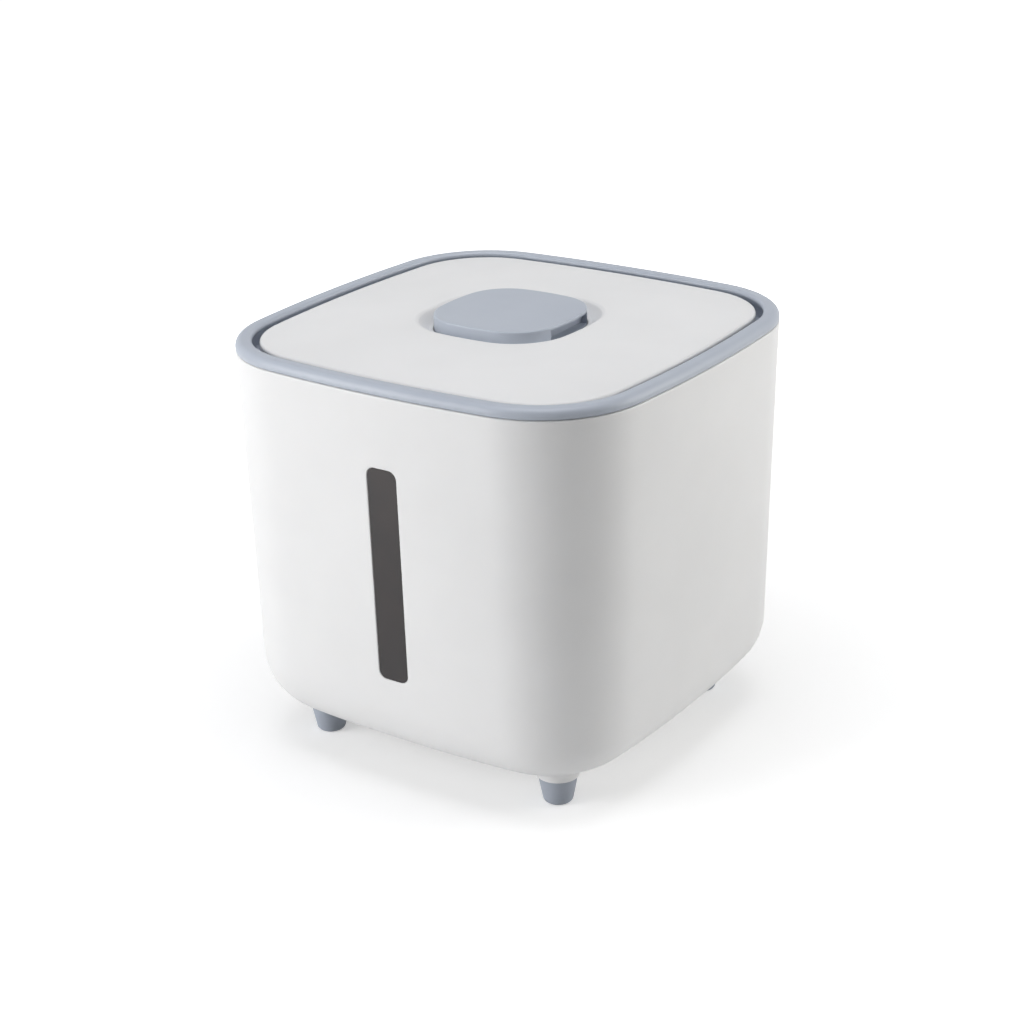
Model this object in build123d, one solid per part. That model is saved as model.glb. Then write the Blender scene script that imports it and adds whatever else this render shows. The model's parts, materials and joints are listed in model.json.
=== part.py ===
from build123d import *
import math
import os

# A square rice container on four feet. Its lid seals when the button is down and lifts off when it is up.
# Millimetres, +Z up. The origin is on the floor under the middle of the tub, and the window faces -Y.
# Everything stands as in use with the lid sealed: the button is down and latched.

# Tub: a bowed rounded square that leans in towards the floor
body_half = 110.0           # half the width across the seam under the rim
body_corner = 52.0          # corner radius of the plan at the seam
body_bow = 700.0            # radius of the bowed sides
body_height = 183.2         # from the flat underside to the seam
body_draft_share = 0.022    # how far the walls lean in for each length of height
body_wall = 2.2
bottom_round = 28.0
seam_bevel = 0.4

# Feet and the collars that the tub has for them
foot_corner_inset = 34.1    # from the tub's corner in to a foot's axis, along the diagonal
foot_height = 14.2
foot_top_radius = 9.6
foot_tip_radius = 6.9
foot_tip_round = 2.4
collar_height = 4.2
collar_lip = 0.7            # step from the foot out to the collar's edge
collar_flare = 1.8          # how far the collar widens up to the tub
stem_radius = 3.0
stem_length = 4.6

# Window in the front wall
window_x = 3.5
window_width = 16.0
window_height = 105.4
window_drop = 34.6          # from the seam down to the top of the window
window_corner = 4.0
pane_recess = 0.3           # the pane lies this far behind the wall's outer face
pane_flange = 5.0
pane_flange_wall = 1.5

# Rim ring: rounded bead with a lip over the gap, leg in the tub, ledge for the lid, wall for the gasket
rim_height = 5.0
rim_width = 7.2
rim_wall = 2.0
rim_outer_round = 3.6
rim_inner_round = 1.9
rim_under_round = 1.0       # round where the bead meets the tub
rim_lip = 1.6               # how far the bead's inner edge stands out over the gap's wall
rim_lip_edge = 2.0          # from the top of the bead down to where the lip turns back
rim_leg = 12.0
ledge_drop = 5.2            # from the seam down to the ledge
ledge_width = 6.8
seal_depth = 24.0           # height of the gasket's wall below the ledge

# Lid cover
lid_gap = 4.2               # between the lid's edge and the rim
lid_wall = 2.2
lid_edge = 3.6              # height of the lid's edge above the seam
lid_edge_round = 1.4
lid_crown = 3.7             # rise of the lid from its edge to the recess
crown_shares = (0.0, 0.5, 1.0)
recess_half = 40.4
recess_corner = 28.5
recess_bow = 180.0
recess_depth = 4.6
recess_floor = 1.2          # flat strip between the button and the recess's slope
recess_round = 2.5
recess_edge_round = 3.0
guide_depth = 15.0          # guide wall for the button, from the crown down
lid_boss_radius = 4.0
lid_boss_corner_inset = 34.4    # from the tub's corner in to a boss, along the diagonal

# Button cap
button_half = 33.2
button_corner = 22.5
button_bow = 100.0
button_proud = 2.8          # the latched button stands this far above the crown
button_top_wall = 2.5
button_wall = 2.0
button_skirt = 18.8
button_edge_round = 0.8
button_gap = 0.5
button_travel = 8.0
scoop_depth = 6.0
scoop_near = 14.0           # from the button's middle to the near end of a scoop
scoop_far = 20.0            # and to its far end
scoop_lip = 1.5
scoop_height = 6.0
cap_boss_radius = 3.6
cap_boss_height = 6.0
cap_boss_offset = 16.0

# Screws that hold the button's carrier and the lid's frame
screw_radius = 1.5
screw_head_radius = 2.8
screw_head_height = 2.0
screw_grip = 4.0            # length of thread past the clamped plate

# Mechanism frame under the lid cover
frame_inset = 17.0          # from the seam's outline in to the frame's edge
frame_drop = 6.0            # from the ledge down to the frame's top
frame_wall = 2.0
well_half = 50.0
well_corner = 14.0
well_depth = 10.0           # from the frame's top down to the well's floor
post_radius = 5.0
post_height = 17.0

# Carrier under the button, with its guide tube and lugs
carrier_half = 24.0
carrier_corner = 6.0
carrier_wall = 2.2
tube_wall = 1.6
tube_length = 18.4
lug_thick = 3.0

# Rocking levers between the carrier's lugs and the pressure plate's hooks
lug_offset = 20.0           # from the lid's axis to the inner end of a level lever
hook_gap = 6.0              # from the outer end of a level lever to the well's wall
lever_outer = 6.0           # arm towards the hook
lever_rise = 8.5            # pivot height above the well's floor
lever_width = 6.0
lever_boss_radius = 3.2
lever_nose_radius = 1.5
lever_arm = 2.0             # thickness of an arm at its nose
lever_pin_radius = 1.5
cheek_wall = 2.5
cheek_half = 3.2
hook_thick = 3.3
hook_bar = 1.8              # bar over and under a lever's nose

# Pressure plate and gasket
plate_wall = 2.5
plate_gap = 0.5             # between the well's underside and the plate
gasket_width = 8.7
gasket_round = 2.4
rib_wall = 2.0
rib_height = 5.0

# Spring round the guide tube
spring_radius = 9.0
spring_wire = 1.5
spring_turns = 6

# Push-push latch: an arm on the frame whose tip follows a track in the carrier's tongue
latch_x = 18.0
latch_length = 12.0
latch_swing = 11.46         # degrees that the arm swings over the button's travel
latch_arm_thick = 2.5
latch_arm_half = 1.6
latch_boss_radius = 2.6
latch_pin_radius = 1.25
latch_tip_radius = 1.0
latch_rise = 3.0            # pivot height above the well's floor
latch_post_half = 3.0
tongue_thick = 2.6
tongue_half = 6.0
tongue_foot = 3.2           # tongue below the track's lowest point
track_depth = 1.5
track_bend_shares = (0.42, 0.5)     # outer bend of the push track, of the tongue's half width and the travel
track_top_shares = (0.18, -0.26)    # top of the push track, in the same measures

# Clearances and the overrun of cuts
running_gap = 0.4           # between pieces that move past each other
slide_fit = 0.06            # radial clearance of pins, posts and screws
seat_gap = 0.15             # between pieces that are pushed or glued together
seal_gap = 0.3              # between the gasket and its wall
overrun = 1.0

# Levels and places that follow from the sizes
underside = foot_height + collar_height
seam = underside + body_height
ledge = seam - ledge_drop
lid_inset = rim_width + lid_gap
seal_inset = rim_width + ledge_width
edge_level = seam + lid_edge
crown_level = edge_level + lid_crown
recess_level = crown_level - recess_depth
button_top = crown_level + button_proud
button_foot = button_top - button_skirt
cap_ceiling = button_top - button_top_wall
carrier_top = cap_ceiling - cap_boss_height
carrier_low = carrier_top - carrier_wall
frame_top = ledge - frame_drop
well_floor = frame_top - well_depth
well_low = well_floor - frame_wall
plate_top = well_low - plate_gap
plate_low = plate_top - plate_wall
gasket_top = frame_top - frame_wall
pivot_level = well_floor + lever_rise
lever_pivot = well_half - hook_gap - lever_outer
lever_inner = lever_pivot - lug_offset
lever_swing = button_travel / lever_inner
lever_tilt = math.degrees(lever_swing / 2)
plate_travel = button_travel * lever_outer / lever_inner
tip_level = well_floor + latch_rise + latch_length * math.cos(math.radians(latch_swing / 2))
tip_shift = latch_length * math.sin(math.radians(latch_swing / 2))
tongue_back = carrier_half
tongue_face = tongue_back - tongue_thick


def corner_centre(half, corner, bow):
    # where a corner arc is centred, the same distance from both middle planes
    reach = bow - half
    return (math.sqrt(2 * (bow - corner) ** 2 - reach ** 2) - reach) / 2


def diagonal_spot(inset):
    # a place on the diagonal, that far in from the tub's rounded corner
    return corner_centre(body_half, body_corner, body_bow) + (body_corner - inset) / math.sqrt(2)


foot_offset = diagonal_spot(foot_corner_inset)
lid_boss_offset = diagonal_spot(lid_boss_corner_inset)
foot_spots = {
    "foot_front_left": (-foot_offset, -foot_offset),
    "foot_front_right": (foot_offset, -foot_offset),
    "foot_back_left": (-foot_offset, foot_offset),
    "foot_back_right": (foot_offset, foot_offset),
}
lever_turns = {"lever_right": 0, "lever_back": 90, "lever_left": 180, "lever_front": 270}


def bowed_square(half, corner, bow):
    # four bowed sides and four corner arcs that meet in common tangents
    reach = bow - half
    middle = corner_centre(half, corner, bow)
    swing = math.degrees(math.atan2(middle, middle + reach))
    arcs = []
    for quarter in range(4):
        turn = Rot(0, 0, 90 * quarter)
        arcs.append(turn * CenterArc((-reach, 0), bow, -swing, 2 * swing))
        arcs.append(turn * CenterArc((middle, middle), corner, swing, 90 - 2 * swing))
    return make_face(arcs)


def plan(inset):
    # the tub's plan at the seam, drawn in all round
    return bowed_square(body_half - inset, body_corner - inset, body_bow - inset)


def prism(face, low, high):
    return extrude(Pos(0, 0, low) * face, high - low)


def ring(outer, inner, low, high):
    return prism(plan(outer) - plan(inner), low, high)


def block(low_corner, high_corner):
    sizes = [high - low for low, high in zip(low_corner, high_corner)]
    middle = [(high + low) / 2 for low, high in zip(low_corner, high_corner)]
    return Pos(*middle) * Box(*sizes)


def rod(x, y, low, high, radius):
    return Pos(x, y, (low + high) / 2) * Cylinder(radius, high - low)


def four_corners(offset):
    return [(x, y) for x in (-offset, offset) for y in (-offset, offset)]


def edges_at(solid, level):
    # edges that lie flat at one height
    return solid.edges().filter_by(lambda edge: edge.bounding_box().min.Z > level - slide_fit
                                   and edge.bounding_box().max.Z < level + slide_fit)


def tub(inset):
    # the tub's outer form, drawn in by one wall thickness on the sides and the floor
    low = underside + inset
    lean = body_draft_share * (seam - low)
    form = loft([Pos(0, 0, low) * plan(inset + lean), Pos(0, 0, seam) * plan(inset)], ruled=True)
    return fillet(edges_at(form, low), bottom_round - inset)


def window_prism(grow):
    width = window_width + 2 * grow
    height = window_height + 2 * grow
    middle = seam - window_drop - window_height / 2
    face = Pos(window_x, 0, middle) * Rot(90, 0, 0) * RectangleRounded(width, height, window_corner + grow)
    return extrude(face, body_half + overrun)


def body_shell():
    outer = tub(0)
    outer = chamfer(edges_at(outer, seam), seam_bevel)
    shell = outer - tub(body_wall)
    collar_radius = foot_top_radius + collar_lip
    collar_top = underside + body_wall - seat_gap
    for x, y in foot_spots.values():
        collar = Cone(collar_radius, collar_radius + collar_flare, collar_top - foot_height)
        shell += Pos(x, y, (collar_top + foot_height) / 2) * collar
        stem_end = foot_height + stem_length + seat_gap
        shell -= rod(x, y, foot_height - overrun, stem_end, stem_radius + slide_fit)
    return shell - window_prism(seat_gap)


def foot(x, y):
    cone = Cone(foot_tip_radius, foot_top_radius, foot_height)
    cone = fillet(cone.edges().sort_by(Axis.Z)[0], foot_tip_round)
    stem = rod(0, 0, foot_height - overrun, foot_height + stem_length, stem_radius)
    return Pos(x, y, 0) * (Pos(0, 0, foot_height / 2) * cone + stem)


def window_pane():
    flange_face = body_wall + seat_gap
    flange_back = flange_face + pane_flange_wall
    inside = tub(flange_back)
    plug = window_prism(0) & (tub(pane_recess) - inside)
    flange = window_prism(pane_flange) & (tub(flange_face) - inside)
    return plug + flange


def rim_ring():
    cap = ring(0, rim_width, seam, seam + rim_height)
    top = cap.faces().sort_by(Axis.Z)[-1]
    cap = fillet(top.outer_wire().edges(), rim_outer_round)
    top = cap.faces().sort_by(Axis.Z)[-1]
    cap = fillet(top.inner_wires()[0].edges(), rim_inner_round)
    cap = fillet(cap.faces().sort_by(Axis.Z)[0].outer_wire().edges(), rim_under_round)
    gap_inset = rim_width - rim_lip
    lip_level = seam + rim_height - rim_lip_edge
    cap -= loft([Pos(0, 0, seam) * plan(gap_inset), Pos(0, 0, lip_level) * plan(rim_width)], ruled=True)
    leg_inset = body_wall + body_draft_share * rim_leg + seat_gap
    shelf_inset = gap_inset - rim_wall
    leg = ring(leg_inset, leg_inset + rim_wall, seam - rim_leg, seam)
    gap_wall = ring(shelf_inset, gap_inset, ledge - rim_wall, seam)
    shelf = ring(shelf_inset, seal_inset, ledge - rim_wall, ledge)
    seal_wall = ring(seal_inset - rim_wall, seal_inset, ledge - seal_depth, ledge)
    return cap + leg + gap_wall + shelf + seal_wall


def crowned_block(inset, drop):
    # from the edge outline up to the recess outline, through outlines that rise as a parabola
    rim_half = body_half - lid_inset - inset
    rim_corner = body_corner - lid_inset - inset
    rim_bow = body_bow - lid_inset - inset
    outlines = []
    for share in crown_shares:
        half = rim_half + (recess_half - rim_half) * share
        corner = rim_corner + (recess_corner - rim_corner) * share
        bow = rim_bow + (recess_bow - rim_bow) * share
        height = edge_level - drop + lid_crown * (1 - (1 - share) ** 2)
        outlines.append(Pos(0, 0, height) * bowed_square(half, corner, bow))
    return loft(outlines)


def recess_outline(grow):
    return bowed_square(recess_half + grow, recess_corner + grow, recess_bow + grow)


def button_outline(grow):
    return bowed_square(button_half + grow, button_corner + grow, button_bow + grow)


def lid_cover():
    crown = crowned_block(0, 0)
    outer = prism(plan(lid_inset), ledge, edge_level) + crown
    outer = fillet(edges_at(outer, edge_level), lid_edge_round)
    hollow = prism(plan(lid_inset + lid_wall), ledge - overrun, edge_level - lid_wall)
    cover = outer - (hollow + crowned_block(lid_wall, lid_wall))
    floor_grow = button_gap + recess_floor
    bowl_low = recess_level - lid_wall
    bowl = loft([Pos(0, 0, bowl_low) * button_outline(floor_grow + lid_wall),
                 Pos(0, 0, crown_level - lid_wall / 2) * recess_outline(lid_wall)], ruled=True)
    guide = prism(button_outline(button_gap + lid_wall), crown_level - guide_depth, recess_level)
    dish = loft([Pos(0, 0, recess_level) * button_outline(floor_grow),
                 Pos(0, 0, crown_level) * recess_outline(0)], ruled=True)
    dish = fillet(edges_at(dish, recess_level), recess_round)
    cover = cover + bowl + guide - dish
    cover = fillet(edges_at(cover, crown_level), recess_edge_round)
    cover -= prism(button_outline(button_gap), crown_level - guide_depth - overrun, crown_level + overrun)
    for x, y in four_corners(lid_boss_offset):
        cover += rod(x, y, frame_top, edge_level, lid_boss_radius)
        cover += rod(x, y, edge_level, crown_level, lid_boss_radius) & crown
        cover -= rod(x, y, frame_top - overrun, frame_top + screw_grip + overrun, screw_radius + slide_fit)
    return cover


def button_cap():
    body = prism(button_outline(0), button_foot, button_top)
    body = fillet(edges_at(body, button_top), button_edge_round)
    hollow = prism(button_outline(-button_wall), button_foot - overrun, cap_ceiling)
    scoop_top = button_top - scoop_lip
    scoop_low = scoop_top - scoop_height
    scoop_back = button_half - scoop_depth
    outside = button_half + overrun
    housing = block((scoop_back - button_wall, -scoop_near - button_wall, scoop_low - button_wall),
                    (outside, scoop_far + button_wall, cap_ceiling + overrun))
    scoop = block((scoop_back, -scoop_near, scoop_low), (outside, scoop_far, scoop_top))
    for turn in (0, 180):
        hollow -= Rot(0, 0, turn) * housing
        body -= Rot(0, 0, turn) * scoop
    cap = body - hollow
    for x, y in four_corners(cap_boss_offset):
        cap += rod(x, y, carrier_top, cap_ceiling + overrun, cap_boss_radius)
        cap -= rod(x, y, carrier_top - overrun, carrier_top + screw_grip + seat_gap, screw_radius + slide_fit)
    return cap


def screws(offset, seat, clamped):
    # pan-head screws that come up from below, head under the seat
    solids = []
    for x, y in four_corners(offset):
        head = rod(x, y, seat - screw_head_height, seat, screw_head_radius)
        shank = rod(x, y, seat, seat + clamped + screw_grip, screw_radius)
        solids.append(head + shank)
    return Compound(children=solids)


def track_point(x_share, level_share):
    # a place on the tongue, measured from the latched tip
    return (latch_x + tip_shift + tongue_half * x_share, tip_level - button_travel * level_share)


def track():
    # the return stroke runs straight from the latched tip down to the free tip
    latched = (latch_x + tip_shift, tip_level)
    free = (latch_x - tip_shift, tip_level - button_travel)
    bend = track_point(*track_bend_shares)
    top = track_point(*track_top_shares)
    groove = None
    for start, end in ((latched, free), (free, bend), (bend, top), (top, latched)):
        line = Plane.XZ * Line(start, end)
        width = 2 * (latch_tip_radius + running_gap)
        slot = extrude(Plane.XZ * SlotCenterToCenter(line.length, width), -track_depth)
        angle = math.degrees(math.atan2(end[1] - start[1], end[0] - start[0]))
        middle = line.position_at(1 / 2)
        piece = Pos(middle.X, tongue_face, middle.Z) * Rot(0, -angle, 0) * slot
        groove = piece if groove is None else groove + piece
    return groove


def button_plunger():
    base = RectangleRounded(2 * carrier_half, 2 * carrier_half, carrier_corner)
    carrier = prism(base, carrier_low, carrier_top)
    tube_radius = post_radius + slide_fit + tube_wall
    carrier += rod(0, 0, carrier_low - tube_length, carrier_low, tube_radius)
    nose = (lever_pivot - lever_inner * math.cos(math.radians(lever_tilt)),
            pivot_level - lever_inner * math.sin(math.radians(lever_tilt)))
    window = lever_nose_radius + running_gap
    half_width = lever_width / 2 + running_gap
    for turn in lever_turns.values():
        lug = block((nose[0] - lug_thick / 2, -half_width - hook_bar, nose[1] - window - hook_bar),
                    (nose[0] + lug_thick / 2, half_width + hook_bar, carrier_low))
        lug -= block((nose[0] - lug_thick, -half_width, nose[1] - window),
                     (nose[0] + lug_thick, half_width, nose[1] + window))
        carrier += Rot(0, 0, turn) * lug
    tongue_low = tip_level - button_travel - tongue_foot
    tongue = block((latch_x - tongue_half, tongue_face, tongue_low),
                   (latch_x + tongue_half, tongue_back, carrier_low))
    tongue &= prism(button_outline(-button_wall - running_gap), tongue_low, carrier_low)
    carrier += tongue - track()
    carrier -= rod(0, 0, carrier_low - tube_length - overrun, carrier_low, post_radius + slide_fit)
    for x, y in four_corners(cap_boss_offset):
        carrier -= rod(x, y, carrier_low - overrun, carrier_top + overrun, screw_radius + slide_fit)
    return carrier


def mechanism_frame():
    well = RectangleRounded(2 * well_half, 2 * well_half, well_corner)
    cup_half = well_half + frame_wall
    cup = RectangleRounded(2 * cup_half, 2 * cup_half, well_corner + frame_wall)
    frame = prism(plan(frame_inset), gasket_top, frame_top) + prism(cup, well_low, frame_top)
    frame -= prism(well, well_floor, frame_top + overrun)
    frame += rod(0, 0, well_floor - overrun, well_floor + post_height, post_radius)
    inner = lever_width / 2 + running_gap
    hook_middle = lever_pivot + lever_outer * math.cos(math.radians(lever_tilt))
    slot_reach = hook_thick / 2 + running_gap
    slot_half = inner + hook_bar + running_gap
    for turn in lever_turns.values():
        for side in (-1, 1):
            cheek = block((lever_pivot - cheek_half, inner, well_floor - overrun),
                          (lever_pivot + cheek_half, inner + cheek_wall, pivot_level + cheek_half))
            cheek -= lever_rod(lever_pin_radius + slide_fit, inner + cheek_wall + overrun)
            if side < 0:
                cheek = mirror(cheek, Plane.XZ)
            frame += Rot(0, 0, turn) * cheek
        frame -= Rot(0, 0, turn) * block((hook_middle - slot_reach, -slot_half, well_low - overrun),
                                         (hook_middle + slot_reach, slot_half, well_floor + overrun))
    for x, y in four_corners(lid_boss_offset):
        frame -= rod(x, y, gasket_top - overrun, frame_top + overrun, screw_radius + slide_fit)
    arm_back = tongue_face - running_gap - latch_arm_thick
    post_back = arm_back - running_gap - cheek_wall
    pivot = well_floor + latch_rise
    frame += block((latch_x - latch_post_half, post_back, well_floor - overrun),
                   (latch_x + latch_post_half, arm_back - running_gap, pivot + latch_post_half))
    frame -= latch_rod(post_back - overrun, arm_back, latch_pin_radius + slide_fit)
    return frame


def lever_rod(radius, half_length):
    # a round bar across the right-hand lever's pivot
    return Pos(lever_pivot, 0, pivot_level) * Rot(90, 0, 0) * Cylinder(radius, 2 * half_length)


def latch_rod(near, far, radius):
    # a round bar along +Y on the latch's pivot
    middle = (near + far) / 2
    return Pos(latch_x, middle, well_floor + latch_rise) * Rot(90, 0, 0) * Cylinder(radius, far - near)


def lever():
    shape = Circle(lever_boss_radius)
    for direction, length in ((-1, lever_inner), (1, lever_outer)):
        reach = direction * length
        half = lever_arm / 2
        arm = make_face(Polyline((0, -half), (reach, -half), (reach, half), (0, half), close=True))
        shape += arm + Pos(reach, 0) * Circle(lever_nose_radius)
    shape -= Circle(lever_pin_radius + slide_fit)
    solid = extrude(Plane.XZ * shape, lever_width / 2, both=True)
    return Pos(lever_pivot, 0, pivot_level) * Rot(0, -lever_tilt, 0) * solid


def lever_pins():
    pin = lever_rod(lever_pin_radius, lever_width / 2 + running_gap + cheek_wall)
    return Compound(children=[Rot(0, 0, turn) * pin for turn in lever_turns.values()])


def pressure_plate():
    plate = prism(plan(frame_inset), plate_low, plate_top)
    rib_outer = seal_inset + seal_gap + gasket_width + seal_gap
    plate += ring(rib_outer, rib_outer + rib_wall, plate_top, plate_top + rib_height)
    tilt = math.radians(lever_tilt)
    nose = (lever_pivot + lever_outer * math.cos(tilt), pivot_level + lever_outer * math.sin(tilt))
    window = lever_nose_radius + running_gap
    half_width = lever_width / 2 + running_gap
    for turn in lever_turns.values():
        hook = block((nose[0] - hook_thick / 2, -half_width - hook_bar, plate_low),
                     (nose[0] + hook_thick / 2, half_width + hook_bar, nose[1] + window + hook_bar))
        hook -= block((nose[0] - hook_thick, -half_width, nose[1] - window),
                      (nose[0] + hook_thick, half_width, nose[1] + window))
        plate += Rot(0, 0, turn) * hook
    return plate


def lid_gasket():
    outer = seal_inset + seal_gap
    gasket = ring(outer, outer + gasket_width, plate_top, gasket_top)
    rims = [face.outer_wire().edges() for face in gasket.faces().filter_by(GeomType.PLANE)]
    return fillet([edge for rim in rims for edge in rim], gasket_round)


def helix_place(turns, radius, climb):
    # a point of the spring's centre line and its direction there
    angle = 2 * math.pi * turns
    point = Vector(radius * math.cos(angle), radius * math.sin(angle), climb * turns)
    along = Vector(-radius * math.sin(angle), radius * math.cos(angle), climb / (2 * math.pi))
    return point, along.normalized()


def biarc(start, start_way, end, end_way):
    # two arcs that leave and arrive along the given directions and meet in a common tangent
    chord = end - start
    both = start_way + end_way
    bend = 2 * (1 - start_way.dot(end_way))
    reach = (math.sqrt(chord.dot(both) ** 2 + bend * chord.dot(chord)) - chord.dot(both)) / bend
    near = start + start_way * reach
    far = end - end_way * reach
    meet = (near + far) * 0.5
    return [TangentArc(start, meet, tangent=start_way), TangentArc(meet, end, tangent=far - near)]


def return_spring():
    length = carrier_low - well_floor
    climb = (length - spring_wire) / spring_turns
    places = [helix_place(quarter / 4, spring_radius, climb) for quarter in range(4 * spring_turns + 1)]
    arcs = []
    for (start, start_way), (end, end_way) in zip(places, places[1:]):
        arcs += biarc(start, start_way, end, end_way)
    section = Plane(origin=places[0][0], z_dir=places[0][1]) * Circle(spring_wire / 2)
    coil = sweep(section, path=Wire(arcs))
    gaps = [(high - low).length - spring_wire for (low, _), (high, _) in zip(places, places[4:])]
    print("spring: least gap between turns", round(min(gaps), 3))
    return Pos(0, 0, well_floor + spring_wire / 2) * coil


def latch_arm():
    boss = Circle(latch_boss_radius)
    stem = make_face(Polyline((-latch_arm_half, 0), (latch_arm_half, 0), (latch_arm_half, latch_length),
                              (-latch_arm_half, latch_length), close=True))
    shape = boss + stem + Pos(0, latch_length) * Circle(latch_arm_half)
    shape -= Circle(latch_pin_radius + slide_fit)
    face = tongue_face - running_gap
    arm = Pos(0, face, 0) * extrude(Plane.XZ * shape, latch_arm_thick)
    tip_end = tongue_face + track_depth - running_gap
    tip = Pos(0, (face + tip_end) / 2 - overrun / 2, latch_length) * Rot(90, 0, 0) * Cylinder(
        latch_tip_radius, tip_end - face + overrun)
    return Pos(latch_x, 0, well_floor + latch_rise) * Rot(0, latch_swing / 2, 0) * (arm + tip)


def latch_pin():
    face = tongue_face - running_gap
    post_back = face - latch_arm_thick - running_gap - cheek_wall
    return latch_rod(post_back, face, latch_pin_radius)


parts = {
    "body_shell": body_shell(),
    "rim_ring": rim_ring(),
    "window_pane": window_pane(),
    "lid_cover": lid_cover(),
    "mechanism_frame": mechanism_frame(),
    "frame_screws": screws(lid_boss_offset, gasket_top, frame_wall),
    "lever_pins": lever_pins(),
    "lid_gasket": lid_gasket(),
    "return_spring": return_spring(),
    "latch_pin": latch_pin(),
    "button_cap": button_cap(),
    "button_plunger": button_plunger(),
    "plunger_screws": screws(cap_boss_offset, carrier_low, carrier_wall),
    "pressure_plate": pressure_plate(),
    "latch_arm": latch_arm(),
}
for name, (x, y) in foot_spots.items():
    parts[name] = foot(x, y)
for name, turn in lever_turns.items():
    parts[name] = Rot(0, 0, turn) * lever()

os.makedirs("parts", exist_ok=True)
for name, solid in parts.items():
    export_step(solid, f"parts/{name}.step")
print("seam", seam, "plate travel", round(plate_travel, 3))
print("lever swing", round(math.degrees(lever_swing), 2))
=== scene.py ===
import json
import math
import bpy
import numpy as np
from mathutils import Matrix, Vector


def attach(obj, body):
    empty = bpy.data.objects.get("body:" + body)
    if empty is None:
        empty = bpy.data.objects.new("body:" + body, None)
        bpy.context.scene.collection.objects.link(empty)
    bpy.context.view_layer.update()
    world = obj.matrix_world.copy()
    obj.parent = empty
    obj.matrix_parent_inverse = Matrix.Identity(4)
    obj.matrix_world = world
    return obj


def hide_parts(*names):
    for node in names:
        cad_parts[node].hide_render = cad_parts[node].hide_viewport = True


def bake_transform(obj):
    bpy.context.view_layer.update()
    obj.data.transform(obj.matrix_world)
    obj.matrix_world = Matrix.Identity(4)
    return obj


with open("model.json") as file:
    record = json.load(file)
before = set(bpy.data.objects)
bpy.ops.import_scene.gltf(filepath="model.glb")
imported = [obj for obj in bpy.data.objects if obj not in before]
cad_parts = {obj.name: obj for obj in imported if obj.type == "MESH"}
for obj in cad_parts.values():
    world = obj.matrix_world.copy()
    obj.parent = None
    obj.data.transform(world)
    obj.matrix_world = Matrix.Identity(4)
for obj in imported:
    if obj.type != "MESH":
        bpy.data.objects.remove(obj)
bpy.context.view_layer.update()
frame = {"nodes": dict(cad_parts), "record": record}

nodes = frame["nodes"]
mm = 0.001    # every shape below is written in millimetres
print("frame loaded:", len(nodes), "nodes")


# helpers for surfaces

# where the tub meets the rim: a square with bowed sides and round corners
seamOutline = {"half": 110.0, "corner": 52.0, "bow": 700.0, "height": 201.6}


def outlineParts():
    # Distance from the middle back to the centre of a side's arc, c for the centre (c, c) of a corner's arc,
    # and half the angle that a side turns through.
    half, corner, bow = (seamOutline[key] for key in ("half", "corner", "bow"))
    reach = bow - half
    c = (math.sqrt(2 * (bow - corner) ** 2 - reach ** 2) - reach) / 2
    return reach, c, math.atan2(c, c + reach)


def bowedOutline(sideShares, cornerSteps):
    # Points and outward normals round the outline, from a list of shares along each of its four sides.
    # A side is an arc of radius bow about (half - bow, 0), a corner an arc about (c, c), and the two touch.
    reach, c, turn = outlineParts()
    cornerAngles = turn + (math.pi / 2 - 2 * turn) * np.arange(cornerSteps) / cornerSteps
    cornerWay = np.stack([np.cos(cornerAngles), np.sin(cornerAngles)], -1)
    spots, normals = [], []
    for quarter, shares in enumerate(sideShares):
        sideWay = np.stack([np.cos(turn * shares), np.sin(turn * shares)], -1)
        spot = np.vstack([seamOutline["bow"] * sideWay - (reach, 0), seamOutline["corner"] * cornerWay + c])
        swing = quarter * math.pi / 2
        turned = np.array([[math.cos(swing), math.sin(swing)], [-math.sin(swing), math.cos(swing)]])
        spots.append(spot @ turned)
        normals.append(np.vstack([sideWay, cornerWay]) @ turned)
    return np.concatenate(spots), np.concatenate(normals)


def evenShares(steps):
    return [np.arange(steps) / steps * 2 - 1] * 4


def sweepRound(section, sideShares, cornerSteps):
    # A section of (inset, height) carried round the outline: point = outline - inset * normal.
    outline, normals = bowedOutline(sideShares, cornerSteps)
    flat = outline - section[:, :1, None] * normals
    heights = np.broadcast_to(section[:, 1:, None], flat.shape[:2] + (1,))
    return np.dstack([flat, heights]).reshape(-1, 3), len(outline)


def roundedPath(corners, radii, steps):
    # Straight lines with rounded corners: an arc starts radius * tan(half the bend) before its corner.
    corners = np.asarray(corners, float)
    path = [corners[:1]]
    for before, here, after, radius in zip(corners, corners[1:], corners[2:], radii):
        if radius == 0:
            path.append(here[None])
            continue
        into = (here - before) / np.linalg.norm(here - before)
        out = (after - here) / np.linalg.norm(after - here)
        bend = math.atan2(into[0] * out[1] - into[1] * out[0], into @ out)
        start = here - into * radius * math.tan(abs(bend) / 2)
        side = np.array([-into[1], into[0]]) * math.copysign(1, bend)
        angles = np.linspace(0, abs(bend), steps + 1)[:, None]
        path.append(start + radius * (np.sin(angles) * into + (1 - np.cos(angles)) * side))
    path.append(corners[-1:])
    return np.concatenate(path)


def gridFaces(rows, columns, first=0, loopRows=False):
    # quads between neighbouring rows, closed round the columns
    row, column = np.meshgrid(np.arange(rows if loopRows else rows - 1), np.arange(columns), indexing="ij")
    here, above = row * columns, (row + 1) % rows * columns
    beside = (column + 1) % columns
    corners = [here + column, here + beside, above + beside, above + column]
    return first + np.stack(corners, -1).reshape(-1, 4)


def fanFaces(ring, pole, flip=False):
    # triangles from a closed ring of points to one point
    fan = np.stack([ring, np.roll(ring, -1), np.full(len(ring), pole)], -1)
    return fan[:, ::-1] if flip else fan


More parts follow.
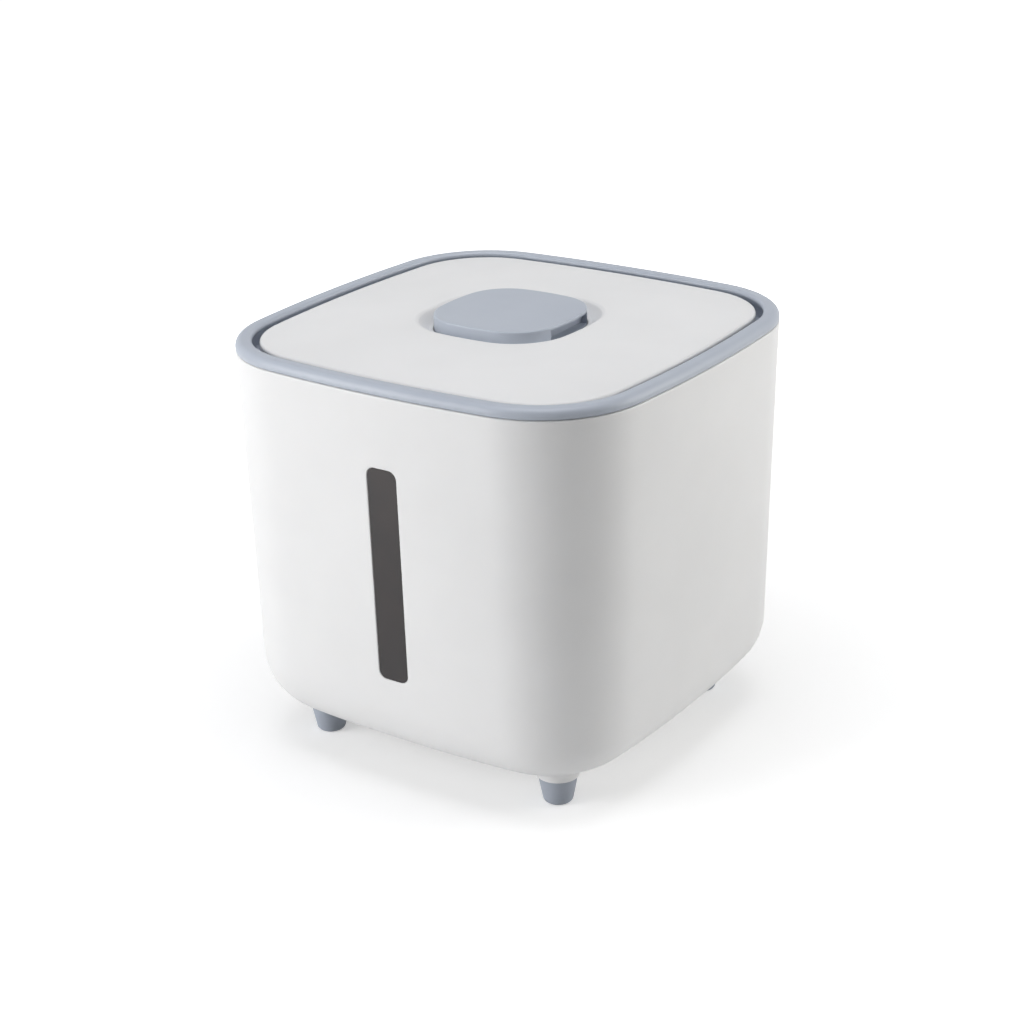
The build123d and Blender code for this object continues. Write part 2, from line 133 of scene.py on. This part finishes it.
def makePiece(name, points, faceSets, sharp=40):
    # points in millimetres, faces as arrays of quads and triangles, sharp in degrees
    mesh = bpy.data.meshes.new(name)
    faces = [face for faceSet in faceSets for face in faceSet.tolist()]
    mesh.from_pydata((points * mm).tolist(), [], faces)
    mesh.shade_smooth()
    mesh.set_sharp_from_angle(angle=math.radians(sharp))
    piece = bpy.data.objects.new(name, mesh)
    bpy.context.scene.collection.objects.link(piece)
    return piece


# materials

def toLinear(hexColour):
    shares = np.array([int(hexColour[k:k + 2], 16) for k in (1, 3, 5)]) / 255
    linear = np.where(shares <= 0.04045, shares / 12.92, ((shares + 0.055) / 1.055) ** 2.4)
    return (*linear.tolist(), 1.0)


def addNode(tree, kind, settings, *links):
    # settings name inputs or properties of the node, links are (input, node, its output)
    node = tree.nodes.new(kind)
    for name, value in settings.items():
        if name in node.inputs:
            node.inputs[name].default_value = value
        else:
            setattr(node, name, value)
    for target, source, output in links:
        tree.links.new(source.outputs[output], node.inputs[target])
    return node


def startMaterial(name):
    material = bpy.data.materials.new(name)
    material.use_nodes = True
    tree = material.node_tree
    tree.nodes.clear()
    return material, tree, addNode(tree, "ShaderNodeTexCoord", {})


flowSpread = (0.35, 0.65)       # noise values between which the tone of a moulding drifts
milkSpread = (1.0, 0.9, 0.8)    # light under the skin goes furthest in red


def mouldedPlastic(finish):
    # Flow of the melt shows as a faint drift of tone, and the eroded mould leaves a fine even grain.
    material, tree, place = startMaterial(finish["name"])
    flow = addNode(tree, "ShaderNodeTexNoise", {"Scale": 1 / (finish["flowSize"] * mm), "Detail": 3.0},
                   ("Vector", place, "Object"))
    grain = addNode(tree, "ShaderNodeTexNoise", {"Scale": 1 / (finish["grainSize"] * mm), "Detail": 2.0},
                    ("Vector", place, "Object"))
    tone = addNode(tree, "ShaderNodeValToRGB", {}, ("Fac", flow, "Fac"))
    colours = (finish["shade"], finish["colour"])
    for stop, position, colour in zip(tone.color_ramp.elements, flowSpread, colours):
        stop.position = position
        stop.color = toLinear(colour)
    smooth, rough = finish["roughness"]
    gloss = addNode(tree, "ShaderNodeMapRange", {"To Min": smooth, "To Max": rough}, ("Value", grain, "Fac"))
    bump = addNode(tree, "ShaderNodeBump",
                   {"Strength": finish["grainStrength"], "Distance": finish["grainDepth"] * mm},
                   ("Height", grain, "Fac"))
    shader = addNode(tree, "ShaderNodeBsdfPrincipled",
                     {"IOR": finish["ior"], "Subsurface Weight": finish["milky"],
                      "Subsurface Radius": milkSpread, "Subsurface Scale": finish["milkDepth"] * mm},
                     ("Base Color", tone, "Color"), ("Roughness", gloss, "Result"),
                     ("Normal", bump, "Normal"))
    addNode(tree, "ShaderNodeOutputMaterial", {}, ("Surface", shader, "BSDF"))
    return material


# Polypropylene, moulded in an eroded tool: satin, broad soft highlights, some light under the skin.
# The real grain is near 0.1 mm; it is drawn at 0.7 mm so that it shows at all.
whitePolypropylene = mouldedPlastic({
    "name": "whitePolypropyleneMoulded", "colour": "#f4f4f4", "shade": "#f0f0f0", "flowSize": 70,
    "grainSize": 0.7, "grainDepth": 0.02, "grainStrength": 0.12, "roughness": (0.36, 0.46), "ior": 1.49,
    "milky": 0.06, "milkDepth": 1.5})
# The same plastic with a blue-grey pigment: opaque, a touch glossier on the crown of an edge.
trimPolypropylene = mouldedPlastic({
    "name": "blueGreyPolypropyleneMoulded", "colour": "#bac1cc", "shade": "#b5bcc8", "flowSize": 45,
    "grainSize": 0.7, "grainDepth": 0.02, "grainStrength": 0.12, "roughness": (0.32, 0.42), "ior": 1.49,
    "milky": 0.03, "milkDepth": 0.8})
# Feet: grey elastomer-softened polypropylene, more matt because it is made to grip.
footPolypropylene = mouldedPlastic({
    "name": "greyGripPolypropylene", "colour": "#aeb5c1", "shade": "#a6adb9", "flowSize": 12,
    "grainSize": 0.6, "grainDepth": 0.03, "grainStrength": 0.2, "roughness": (0.48, 0.6), "ior": 1.49,
    "milky": 0.0, "milkDepth": 0.5})
# Unpigmented polypropylene: milky, light goes a few millimetres into it.
naturalPolypropylene = mouldedPlastic({
    "name": "naturalPolypropyleneMoulded", "colour": "#ecebe5", "shade": "#e4e3dc", "flowSize": 25,
    "grainSize": 0.7, "grainDepth": 0.02, "grainStrength": 0.1, "roughness": (0.38, 0.5), "ior": 1.49,
    "milky": 0.2, "milkDepth": 3.0})
# Silicone: dull, with a finer grain, light well under its skin and no hard highlight.
siliconeRubber = mouldedPlastic({
    "name": "siliconeRubberMoulded", "colour": "#e2e4e4", "shade": "#dcdfe0", "flowSize": 9,
    "grainSize": 0.5, "grainDepth": 0.03, "grainStrength": 0.25, "roughness": (0.55, 0.7), "ior": 1.41,
    "milky": 0.25, "milkDepth": 2.0})
# Polystyrene with a smoke tint, polished: smooth, with sharp reflections and a warm brown tint.
# Drawn opaque and near-black: the brown tint is the pane's own, the rest of the darkness is painted shade of
# the unlit tub inside.
smokedPolystyrene = mouldedPlastic({
    "name": "smokedPolystyreneWithPaintedShade", "colour": "#2a2120", "shade": "#211a1b", "flowSize": 14,
    "grainSize": 4.0, "grainDepth": 0.01, "grainStrength": 0.05, "roughness": (0.12, 0.2), "ior": 1.59,
    "milky": 0.0, "milkDepth": 0.5})


def zincSteel(finish):
    # Zinc plate over drawn or turned wire: bright, with fine clouds of duller plating.
    material, tree, place = startMaterial(finish["name"])
    cloud = addNode(tree, "ShaderNodeTexNoise", {"Scale": 1 / (finish["cloudSize"] * mm), "Detail": 4.0},
                    ("Vector", place, "Object"))
    tone = addNode(tree, "ShaderNodeValToRGB", {}, ("Fac", cloud, "Fac"))
    for stop, colour in zip(tone.color_ramp.elements, (finish["shade"], finish["colour"])):
        stop.color = toLinear(colour)
    smooth, rough = finish["roughness"]
    gloss = addNode(tree, "ShaderNodeMapRange", {"To Min": smooth, "To Max": rough}, ("Value", cloud, "Fac"))
    shader = addNode(tree, "ShaderNodeBsdfPrincipled", {"Metallic": 1.0}, ("Base Color", tone, "Color"),
                     ("Roughness", gloss, "Result"))
    addNode(tree, "ShaderNodeOutputMaterial", {}, ("Surface", shader, "BSDF"))
    return material


springSteel = zincSteel({
    "name": "zincPlatedSteel", "colour": "#c6c9cc", "shade": "#aeb2b6", "cloudSize": 1.2,
    "roughness": (0.24, 0.4)})

finishes = {
    "white_polypropylene": whitePolypropylene, "blue_grey_polypropylene": trimPolypropylene,
    "smoked_polystyrene": smokedPolystyrene, "grey_feet": footPolypropylene,
    "natural_polypropylene": naturalPolypropylene, "silicone": siliconeRubber, "spring_steel": springSteel,
}
for subpart in frame["record"]["subparts"]:
    slots = nodes[subpart["node"]].data.materials
    slots.clear()
    slots.append(finishes[subpart["material_slot"]])


def finishPiece(piece, body, slotName, *replaced):
    piece.data.materials.append(finishes[slotName])
    if body:
        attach(piece, body)
    if replaced:
        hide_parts(*replaced)
    print(piece.name, len(piece.data.polygons), "faces")


# tub

tubShape = {
    "underside": 18.4, "lean": 0.022, "wall": 2.2, "bottomRound": 28.0, "seamRound": 0.8, "edgeDrop": 1.2,
    "floorInset": 70.0, "flatInset": 50.0,    # well inside the bottom round, and the floor's first row
    "sideSteps": 24, "cornerSteps": 20, "roundSteps": 14, "edgeSteps": 4, "spareRows": 4,
    "windowX": 3.5, "windowZ": 114.3, "windowHalf": (8.15, 52.85), "windowCorner": 4.15, "windowEdge": 0.5,
    "patchMargin": 7.0, "lineGapShare": 0.02, "patchRings": 4, "edgeRings": 5,
    "arcSteps": 5, "acrossSteps": 4, "upSteps": 22,
    "footSpot": 68.267, "collarSeat": 14.2, "collarRadius": 10.3, "collarGrow": 0.7, "collarSweep": 2.6,
    "sweepPower": 6, "collarSink": 0.2, "collarPole": 0.3, "collarRings": 12, "collarSteps": 56,
}


def windowLoop(shape, grow):
    # Rounded rectangle, counter-clockwise from the middle of its lower right corner arc.
    # Also gives where each of its four runs starts.
    across, up = (size + grow for size in shape["windowHalf"])
    radius = shape["windowCorner"] + grow
    near = np.radians(np.linspace(-45, 0, shape["arcSteps"] + 1)[:-1])
    far = np.radians(np.linspace(0, 45, shape["arcSteps"] + 1)[:-1])
    sides = ((shape["upSteps"], up, across), (shape["acrossSteps"], across, up))
    runs = []
    for quarter, (steps, half, other) in enumerate(sides * 2):
        out = other - radius + radius * np.concatenate([np.cos(near), np.ones(steps), np.cos(far)])
        straight = np.linspace(radius - half, half - radius, steps + 1)[:-1]
        along = np.concatenate([radius - half + radius * np.sin(near), straight,
                                half - radius + radius * np.sin(far)])
        runs.append(((out, along), (-along, out), (-out, -along), (along, -out))[quarter])
    starts = np.cumsum([0] + [len(run[0]) for run in runs])
    return np.stack([np.concatenate([run[k] for run in runs]) for k in (0, 1)], -1), starts


def buildTub(shape):
    seam, low, wall = seamOutline["height"], shape["underside"], shape["wall"]
    reach, c, turn = outlineParts()

    def insetAt(z):
        return shape["lean"] * (seam - z)

    # window outline, and a rectangle of grid lines round it: the outline's points moved out to its sides
    loop, starts = windowLoop(shape, 0)
    arcMiddle = np.array(shape["windowHalf"]) - shape["windowCorner"] * (1 - math.sqrt(0.5))
    stretch = (np.array(shape["windowHalf"]) + shape["patchMargin"]) / arcMiddle
    rectUp = np.append(loop[starts[0]:starts[1], 1], arcMiddle[1]) * stretch[1] + shape["windowZ"]
    rectAcross = np.append(-loop[starts[1]:starts[2], 0], arcMiddle[0]) * stretch[0] + shape["windowX"]

    # grid lines round the tub, with the rectangle's own lines on the front
    plain = evenShares(shape["sideSteps"])[0]
    inRect = np.arcsin(rectAcross / seamOutline["bow"]) / turn
    before = plain < inRect[0] - shape["lineGapShare"]
    after = plain > inRect[-1] + shape["lineGapShare"]
    front = np.concatenate([plain[before], inRect, plain[after]])
    firstColumn = 3 * (shape["sideSteps"] + shape["cornerSteps"]) + int(before.sum())

    # profile of (inset, height) for one face of the wall, from the floor's edge up to the seam
    def wallProfile(depth):
        floor = low + depth
        line = [(shape["floorInset"], floor), (insetAt(floor) + depth, floor), (depth, seam)]
        lower = roundedPath(line, [shape["bottomRound"] - depth], shape["roundSteps"])[1:-1]
        below = np.linspace(lower[-1, 1], rectUp[0], shape["spareRows"])[1:-1]
        above = np.linspace(rectUp[-1], seam - shape["edgeDrop"], shape["spareRows"])[1:]
        heights = np.concatenate([below, rectUp, above])
        return np.vstack([lower, np.stack([insetAt(heights) + depth, heights], -1)])

    def floorRows(inset, z):
        insets = np.linspace(shape["flatInset"], inset, shape["spareRows"])[:-1]
        return np.stack([insets, np.full_like(insets, z)], -1)

    outer, inner = wallProfile(0), wallProfile(wall)
    edgeLow = seam - shape["edgeDrop"]
    corners = [(0, edgeLow), (0, seam), (wall, seam), (wall, edgeLow)]
    edge = roundedPath(corners, [shape["seamRound"]] * 2, shape["edgeSteps"])[1:-1]
    profile = np.vstack([floorRows(outer[0, 0], low), outer, edge, inner[::-1],
                         floorRows(inner[0, 0], low + wall)[::-1]])
    firstRow = len(outer) - len(rectUp)        # as many rows of floor come first as rows above the rectangle
    innerRow = len(profile) - 1 - firstRow     # the inner face's rows run the other way
    sheet, columns = sweepRound(profile, [plain, plain, plain, front], shape["cornerSteps"])
    rows, count = len(profile), len(sheet)

    # leave the rectangle open on both faces, and close the floor with a point on each face
    quads = gridFaces(rows, columns)
    row, column = np.divmod(np.arange(len(quads)), columns)
    inColumns = (column >= firstColumn) & (column < firstColumn + len(rectAcross) - 1)
    inOuter = (row >= firstRow) & (row < firstRow + len(rectUp) - 1)
    inInner = (row >= innerRow - len(rectUp) + 1) & (row < innerRow)
    points = [sheet, np.array([[0, 0, low], [0, 0, low + wall]])]
    faceSets = [quads[~(inColumns & (inOuter | inInner))],
                fanFaces(np.arange(columns), count, flip=True),
                fanFaces((rows - 1) * columns + np.arange(columns), count + 1)]

    # rings from the rectangle over the rounded edge, through the wall and out to the inner rectangle
    def rectangle(row, upward):
        lift = np.arange(len(rectUp) - 1) * upward
        over = np.arange(len(rectAcross) - 1)
        last = (len(rectUp) - 1) * upward
        return np.concatenate([(row + lift) * columns + firstColumn + len(over),
                               (row + last) * columns + firstColumn + len(over) - over,
                               (row + last - lift) * columns + firstColumn,
                               row * columns + firstColumn + over])

    def onWall(spot, depth):
        # front wall: x and z as given, y on the bowed side at that depth
        x, z = spot.T
        return np.stack([x, reach - np.sqrt((seamOutline["bow"] - insetAt(z) - depth) ** 2 - x ** 2), z], -1)

    outerLoop, innerLoop = rectangle(firstRow, 1), rectangle(innerRow, -1)
    middle = np.array([shape["windowX"], shape["windowZ"]])
    wide = windowLoop(shape, shape["windowEdge"])[0] + middle
    tight = loop + middle
    shares = np.arange(1, shape["patchRings"] + 1) / shape["patchRings"]
    rings = []
    for share in shares:
        rings.append(onWall(sheet[outerLoop][:, [0, 2]] * (1 - share) + wide * share, 0))
    for angle in np.linspace(0, math.pi / 2, shape["edgeRings"])[1:]:
        spot = windowLoop(shape, shape["windowEdge"] * (1 - math.sin(angle)))[0] + middle
        rings.append(onWall(spot, shape["windowEdge"] * (1 - math.cos(angle))))
    for share in np.append(0, shares[:-1]):
        rings.append(onWall(tight * (1 - share) + sheet[innerLoop][:, [0, 2]] * share, wall))
    first, around = count + 2, len(tight)
    points.append(np.concatenate(rings))
    index = first + np.arange(len(rings) * around).reshape(len(rings), around)
    index = np.vstack([outerLoop, index, innerLoop])
    beside = np.roll(index, -1, 1)
    faceSets.append(np.stack([index[:-1], beside[:-1], beside[1:], index[1:]], -1).reshape(-1, 4))

    # collars: from each foot's seat up to the tub's own underside, sweeping out where they meet it
    share = np.linspace(0, 1, shape["collarRings"])[:, None]
    angles = np.arange(shape["collarSteps"]) / shape["collarSteps"] * 2 * math.pi
    sweep = shape["collarSweep"] * share ** shape["sweepPower"]
    radius = shape["collarRadius"] + shape["collarGrow"] * share + sweep
    start = first + len(rings) * around
    order = np.argsort(outer[:, 0])
    for side in ((-1, -1), (1, -1), (-1, 1), (1, 1)):
        x, y = (shape["footSpot"] * sign for sign in side)
        across, along = x + radius * np.cos(angles), y + radius * np.sin(angles)
        inCorner = (np.abs(across) >= c) & (np.abs(along) >= c)
        inset = seamOutline["corner"] - np.hypot(np.abs(across) - c, np.abs(along) - c)
        inset = np.where(inCorner, inset, shape["floorInset"])
        under = np.interp(inset, outer[order, 0], outer[order, 1])
        height = shape["collarSeat"] * (1 - share) + (under + shape["collarSink"]) * share
        poles = np.array([[x, y, shape["collarSeat"]], [x, y, low + shape["collarPole"]]])
        points.append(np.vstack([np.stack([across, along, height], -1).reshape(-1, 3), poles]))
        total = height.size
        steps = np.arange(len(angles))
        faceSets.append(gridFaces(len(share), len(angles), start))
        faceSets.append(fanFaces(start + steps, start + total, flip=True))
        faceSets.append(fanFaces(start + total - len(angles) + steps, start + total + 1))
        start += total + len(poles)
    return makePiece("tub", np.vstack(points), faceSets)


finishPiece(buildTub(tubShape), "bin", "white_polypropylene", "body_shell")


# rim: a rounded bead on the tub's edge, with a groove at the seam and a lip over the gap round the lid

rimShape = {
    "top": 206.6, "seatGap": 0.02, "grooveDepth": 1.8, "grooveHeight": 0.45,
    "lipInset": 7.8, "lipLow": 204.5, "gapInset": 5.6,
    "ledge": 196.4, "sealInset": 14.0, "sealFoot": 172.4, "legInset": 2.614, "legFoot": 189.6, "wall": 2.0,
    "outerRound": 3.4, "innerRound": 1.7, "lipRound": 0.35, "edgeRound": 0.5, "grooveRound": 0.2,
    "sideSteps": 24, "cornerSteps": 20, "roundSteps": 10,
}


def buildRim(shape):
    # Closed section of (inset, height): up the outside, over the bead and down the wall for the gasket.
    seam = seamOutline["height"]
    seat, groove, top = seam + shape["seatGap"], seam + shape["grooveHeight"], shape["top"]
    leg, legFoot, legBack = shape["legInset"], shape["legFoot"], shape["legInset"] + shape["wall"]
    seal, sealFoot, sealBack = shape["sealInset"], shape["sealFoot"], shape["sealInset"] - shape["wall"]
    ledge, ledgeLow = shape["ledge"], shape["ledge"] - shape["wall"]
    deep, lip, gap = shape["grooveDepth"], shape["lipInset"], shape["gapInset"]
    outside = [(leg, legFoot), (leg, seat), (deep, seat), (deep, groove), (0, groove)]
    bead = [(0, top), (lip, top), (lip, shape["lipLow"]), (gap, seam)]
    inside = [(gap, ledge), (seal, ledge), (seal, sealFoot), (sealBack, sealFoot),
              (sealBack, ledgeLow), (legBack, ledgeLow), (legBack, legFoot), (leg, legFoot)]
    beadRounds = [shape["outerRound"], shape["innerRound"], shape["lipRound"]]
    radii = [0, 0, 0, shape["grooveRound"]] + beadRounds + [shape["edgeRound"]] * len(inside)
    section = roundedPath(outside + bead + inside, radii, shape["roundSteps"])[:-1]
    points, columns = sweepRound(section, evenShares(shape["sideSteps"]), shape["cornerSteps"])
    return makePiece("beadRim", points, [gridFaces(len(section), columns, loopRows=True)])


finishPiece(buildRim(rimShape), "bin", "blue_grey_polypropylene", "rim_ring")


# gasket in the lid: two soft lips that press on the rim's wall

gasketShape = {
    "outside": 14.3, "inside": 23.0, "low": 177.9, "high": 188.4,
    "lipDepth": 1.5, "lips": 2, "edgeRound": 1.2, "sharp": 50,
    "sideSteps": 20, "cornerSteps": 16, "lipSteps": 28, "roundSteps": 5,
}


def buildGasket(shape):
    # Closed section carried round the lid: its outer side follows a raised cosine, one wave for each lip.
    low, high, inside = shape["low"], shape["high"], shape["inside"]
    up = np.linspace(0, 1, shape["lipSteps"] + 1)
    wave = shape["outside"] + shape["lipDepth"] * (0.5 + 0.5 * np.cos(2 * math.pi * shape["lips"] * up))
    corners = [(wave[-1], high), (inside, high), (inside, low), (wave[0], low)]
    back = roundedPath(corners, [shape["edgeRound"]] * 2, shape["roundSteps"])[1:-1]
    section = np.vstack([np.stack([wave, low + (high - low) * up], -1), back])
    points, columns = sweepRound(section, evenShares(shape["sideSteps"]), shape["cornerSteps"])
    return makePiece("lipGasket", points, [gridFaces(len(section), columns, loopRows=True)], shape["sharp"])


lipGasket = buildGasket(gasketShape)
finishPiece(lipGasket, None, "silicone", "lid_gasket")
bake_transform(lipGasket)


# return spring

springShape = {"radius": 9.0, "wire": 1.5, "low": 181.15, "high": 200.25, "turns": 6,
               "turnSteps": 40, "wireSteps": 12}


def buildSpring(shape):
    # Wire circle carried along a helix: angle 2 pi turns t, height rising evenly from low to high.
    t = np.linspace(0, 1, shape["turns"] * shape["turnSteps"] + 1)
    angle = 2 * math.pi * shape["turns"] * t
    climb = (shape["high"] - shape["low"]) / (2 * math.pi * shape["turns"] * shape["radius"])
    out = np.stack([np.cos(angle), np.sin(angle), np.zeros_like(angle)], -1)
    along = np.stack([-np.sin(angle), np.cos(angle), np.full_like(angle, climb)], -1) / math.hypot(1, climb)
    upward = np.cross(out, along)
    centre = shape["radius"] * out
    centre[:, 2] = shape["low"] + (shape["high"] - shape["low"]) * t
    turn = np.arange(shape["wireSteps"]) / shape["wireSteps"] * 2 * math.pi
    ring = np.cos(turn)[None, :, None] * out[:, None] + np.sin(turn)[None, :, None] * upward[:, None]
    points = (centre[:, None] + shape["wire"] / 2 * ring).reshape(-1, 3)
    steps = np.arange(shape["wireSteps"])
    faceSets = [gridFaces(len(t), len(steps))[:, ::-1],
                fanFaces(steps, len(points)),
                fanFaces(len(points) - len(steps) + steps, len(points) + 1, flip=True)]
    return makePiece("coilSpring", np.vstack([points, centre[0], centre[-1]]), faceSets)


coilSpring = buildSpring(springShape)
finishPiece(coilSpring, None, "spring_steel", "return_spring")
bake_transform(coilSpring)


# studio: pale floor, soft lamps, white surround

studio = {
    "floorSize": 8.0, "floorColour": "#e6e6e6",
    "glowNear": 0.42, "glowFar": 1.0,
    "nearReach": 0.12, "farReach": 0.75,    # metres from the object's middle
    "fill": 0.0, "surround": 1.0, "gleam": 0.75,
    "lamps": [
        {"name": "leftSoftbox", "place": (-0.831, -1.187, 0.508), "size": (0.9, 1.1), "watts": 16.4,
         "colour": "#ffffff"},
        {"name": "rightSoftbox", "place": (1.255, 0.724, 0.508), "size": (0.9, 1.1), "watts": 7.9,
         "colour": "#fffefb"},
        {"name": "backSoftbox", "place": (0.961, 0.961, 0.754), "size": (0.9, 1.1), "watts": 4.6,
         "colour": "#fffefb"},
        {"name": "overheadSoftbox", "place": (0.0, -0.026, 1.620), "size": (1.2, 1.2), "watts": 13.3,
         "colour": "#fbfcff"},
    ],
    "aim": (0.0, 0.0, 0.12),
}


def backgroundRays(tree, gleam):
    # one for rays from the camera, gleam for rays from a gloss or a clear piece, zero for the light itself
    path = addNode(tree, "ShaderNodeLightPath", {})
    bent = addNode(tree, "ShaderNodeMath", {"operation": "MAXIMUM"}, (0, path, "Is Glossy Ray"),
                   (1, path, "Is Transmission Ray"))
    part = addNode(tree, "ShaderNodeMath", {"operation": "MULTIPLY"}, (0, bent, 0))
    part.inputs[1].default_value = gleam
    return addNode(tree, "ShaderNodeMath", {"operation": "MAXIMUM"}, (0, path, "Is Camera Ray"),
                   (1, part, 0))


def buildSurround(plan):
    world = bpy.data.worlds.new("studio")
    bpy.context.scene.world = world
    world.use_nodes = True
    tree = world.node_tree
    tree.nodes.clear()
    fill = addNode(tree, "ShaderNodeBackground", {"Color": (1, 1, 1, 1), "Strength": plan["fill"]})
    surround = addNode(tree, "ShaderNodeBackground", {"Color": (1, 1, 1, 1), "Strength": plan["surround"]})
    rays = backgroundRays(tree, plan["gleam"])
    mix = addNode(tree, "ShaderNodeMixShader", {}, ("Fac", rays, 0), (1, fill, 0), (2, surround, 0))
    addNode(tree, "ShaderNodeOutputWorld", {}, ("Surface", mix, 0))


def buildFloor(plan):
    # Matt white paper. Seen directly it glows: less near the object, where the shadow lies, fully far off.
    paper, tree, place = startMaterial("whiteStudioPaper")
    matt = addNode(tree, "ShaderNodeBsdfDiffuse", {"Color": toLinear(plan["floorColour"])})
    away = addNode(tree, "ShaderNodeVectorMath", {"operation": "LENGTH"}, ("Vector", place, "Object"))
    ramp = addNode(tree, "ShaderNodeMapRange",
                   {"interpolation_type": "SMOOTHSTEP", "From Min": plan["nearReach"],
                    "From Max": plan["farReach"], "To Min": plan["glowNear"], "To Max": plan["glowFar"]},
                   ("Value", away, "Value"))
    rays = backgroundRays(tree, plan["gleam"])
    strength = addNode(tree, "ShaderNodeMath", {"operation": "MULTIPLY"}, (0, rays, 0), (1, ramp, "Result"))
    glow = addNode(tree, "ShaderNodeEmission", {"Color": (1, 1, 1, 1)}, ("Strength", strength, 0))
    both = addNode(tree, "ShaderNodeAddShader", {}, (0, matt, 0), (1, glow, 0))
    addNode(tree, "ShaderNodeOutputMaterial", {}, ("Surface", both, 0))

    reach = plan["floorSize"] / 2
    corners = [(-reach, -reach, 0), (reach, -reach, 0), (reach, reach, 0), (-reach, reach, 0)]
    mesh = bpy.data.meshes.new("floor")
    mesh.from_pydata(corners, [], [(0, 1, 2, 3)])
    mesh.materials.append(paper)
    floor = bpy.data.objects.new("floor", mesh)
    bpy.context.scene.collection.objects.link(floor)


def buildLamps(plan):
    for lamp in plan["lamps"]:
        data = bpy.data.lights.new(lamp["name"], "AREA")
        data.shape = "RECTANGLE"
        data.size, data.size_y = lamp["size"]
        data.energy = lamp["watts"]
        data.color = toLinear(lamp["colour"])[:3]
        light = bpy.data.objects.new(lamp["name"], data)
        light.location = lamp["place"]
        toward = Vector(plan["aim"]) - Vector(lamp["place"])
        light.rotation_euler = toward.to_track_quat("-Z", "Y").to_euler()
        bpy.context.scene.collection.objects.link(light)
    print("studio:", len(plan["lamps"]), "lamps")


buildSurround(studio)
buildFloor(studio)
buildLamps(studio)


# camera, fitted to the rim, the walls and the feet

cameraFit = {
    "azimuth": 34.605, "elevation": 22.595, "roll": -1.280,   # degrees
    "distance": 1.03762, "aimHeight": 0.1024,                 # metres
    "focalPixels": 2098.03, "centrePixels": (515.265, 522.047), "imagePixels": 1024,
    "sensorWidth": 36.0,                                      # millimetres
}


def placeCamera(fit):
    around, above, roll = (math.radians(fit[key]) for key in ("azimuth", "elevation", "roll"))
    back = Vector((math.sin(around) * math.cos(above), -math.cos(around) * math.cos(above), math.sin(above)))
    level = Vector((math.cos(around), math.sin(around), 0))
    rise = back.cross(level)
    right = level * math.cos(roll) + rise * math.sin(roll)
    up = rise * math.cos(roll) - level * math.sin(roll)
    spot = back * fit["distance"] + Vector((0, 0, fit["aimHeight"]))
    size = fit["imagePixels"]
    data = bpy.data.cameras.new("camera")
    data.sensor_width = fit["sensorWidth"]
    data.lens = fit["focalPixels"] * fit["sensorWidth"] / size
    data.shift_x = (size / 2 - fit["centrePixels"][0]) / size
    data.shift_y = (fit["centrePixels"][1] - size / 2) / size
    camera = bpy.data.objects.new("camera", data)
    camera.matrix_world = Matrix.Translation(spot) @ Matrix((right, up, back)).transposed().to_4x4()
    bpy.context.scene.collection.objects.link(camera)
    bpy.context.scene.camera = camera


placeCamera(cameraFit)
bpy.context.scene.view_settings.view_transform = "Standard"
print("camera placed")
